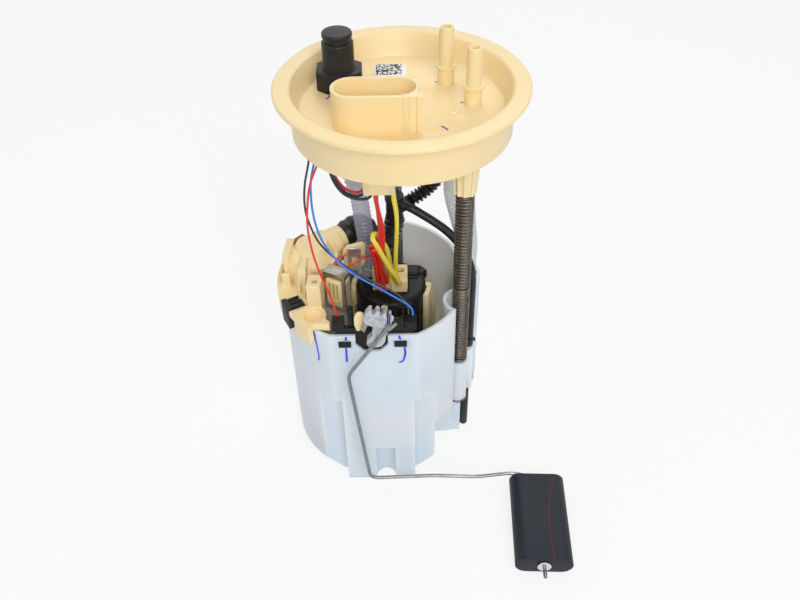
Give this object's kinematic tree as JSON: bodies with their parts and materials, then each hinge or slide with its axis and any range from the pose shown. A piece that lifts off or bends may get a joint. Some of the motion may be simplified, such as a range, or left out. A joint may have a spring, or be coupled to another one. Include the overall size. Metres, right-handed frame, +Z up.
{
  "type": "fuel pump module",
  "caption": "In-tank fuel pump module: a round flange with hose nipples and a connector, sprung on guide rods over a reservoir pot with pump, filter and float level sender.",
  "frame": {"origin": "the flange's axis at the underside of its rim, where the rim seats on the tank opening", "axes": "+Z up along the flange's axis, out of the tank; -Y towards the level sender; +X towards the float"},
  "size_m": [0.173, 0.197, 0.2717],
  "materials": {
    "cream_plastic": "satin",
    "pot_plastic": "satin",
    "black_plastic": "satin",
    "float_foam": "matte",
    "terminal_brass": "satin",
    "rod_steel": "satin",
    "clip_steel": "satin",
    "spring_steel": "satin",
    "case_steel": "satin",
    "rubber": "matte",
    "strainer_mesh": "matte",
    "magnet": "matte",
    "copper": "satin",
    "impeller_resin": "satin",
    "carbon": "matte",
    "filter_shell": "satin",
    "filter_paper": "matte",
    "strip_brown": "satin",
    "regulator_metal": "satin",
    "frame_metal": "satin",
    "clip_metal": "satin",
    "sender_card": "satin",
    "lever_white": "satin",
    "arm_steel": "satin",
    "wire_black": "satin",
    "wire_blue": "satin",
    "wire_red": "satin",
    "wire_yellow": "satin",
    "hose_black": "satin",
    "hose_clear": "satin",
    "label_white": "matte",
    "pen_ink": "matte"
  },
  "bodies": {
    "pot": {"front_spring": "spring_steel", "rear_spring": "spring_steel", "pot": "pot_plastic", "strainer": "strainer_mesh", "jet_pump": "cream_plastic", "pump_holder": "black_plastic", "pump_case": "case_steel", "pump_inlet": "case_steel", "pump_chamber": "case_steel", "pump_body": "case_steel", "outlet_cover": "black_plastic", "magnets": "magnet", "brushes": "carbon", "brush_springs": "terminal_brass", "check_spring": "spring_steel", "outlet_elbow": "black_plastic", "pump_plug": "cream_plastic", "holder_straps": "cream_plastic", "filter_bowl": "filter_shell", "filter_element": "filter_paper", "filter_casing": "cream_plastic", "casing_strip": "strip_brown", "rim_grommet": "rubber", "regulator_body": "regulator_metal", "regulator_spring": "spring_steel", "bonding_frame": "frame_metal", "vented_block": "cream_plastic", "bonding_clip": "clip_metal", "sender_bracket": "black_plastic", "sender_card": "sender_card", "tube_bracket": "pot_plastic", "tube_end": "black_plastic", "sender_wires": "wire_blue", "power_wires": "wire_red", "supply_hose": "hose_black", "pot_hoses": "hose_black", "clear_hoses": "hose_clear"},
    "flange": {"flange": "cream_plastic", "supply_nipple": "cream_plastic", "return_nipple": "cream_plastic", "vent_valve": "black_plastic", "vent_cap": "black_plastic", "terminals": "terminal_brass", "harness_plug": "cream_plastic", "guide_rods": "rod_steel", "rod_clips": "clip_steel", "flange_barbs": "black_plastic", "loop_wires": "wire_black"},
    "rotor": {"armature": "copper", "commutator": "copper", "motor_shaft": "rod_steel", "impeller": "impeller_resin"},
    "check_valve": {"check_valve": "rubber"},
    "regulator": {"regulator_valve": "regulator_metal"},
    "foot_valve": {"foot_valve": "rubber"},
    "arm": {"wiper_lever": "lever_white", "wiper_springs": "clip_metal", "float_arm": "arm_steel", "arm_washer": "arm_steel"},
    "float": {"float": "float_foam"}
  },
  "joints": [
    {"name": "flange_slide", "type": "slide", "parent": "pot", "child": "flange", "axis": [0, 0, 1], "range_m": [-0.035, 0], "stiffness_N_per_m": 1000, "springref_m": 0.02, "deforming": ["front_spring", "rear_spring", "sender_wires", "power_wires", "supply_hose", "clear_hoses"]},
    {"name": "float_arm_pivot", "type": "hinge", "parent": "pot", "child": "arm", "pos_m": [-0.014, -0.058, -0.113], "axis": [0, -1, 0], "range_deg": [0, 60]},
    {"name": "float_swivel", "type": "hinge", "parent": "arm", "child": "float", "pos_m": [0.081, -0.062, -0.2425], "axis": [-0.0436, -0.999, 0], "continuous": true},
    {"name": "rotor_spin", "type": "hinge", "parent": "pot", "child": "rotor", "pos_m": [-0.0085, 0.004, -0.19], "axis": [0, 0, 1], "continuous": true},
    {"name": "check_valve_lift", "type": "slide", "parent": "pot", "child": "check_valve", "axis": [0, 0, 1], "range_m": [0, 0.002], "stiffness_N_per_m": 30, "springref_m": -0.004, "deforming": ["check_spring"]},
    {"name": "regulator_valve_lift", "type": "slide", "parent": "pot", "child": "regulator", "axis": [0, 0, 1], "range_m": [0, 0.002], "stiffness_N_per_m": 500, "springref_m": -0.01, "deforming": ["regulator_spring"]},
    {"name": "foot_valve_lift", "type": "slide", "parent": "pot", "child": "foot_valve", "axis": [0, 0, 1], "range_m": [0, 0.002]}
  ]
}
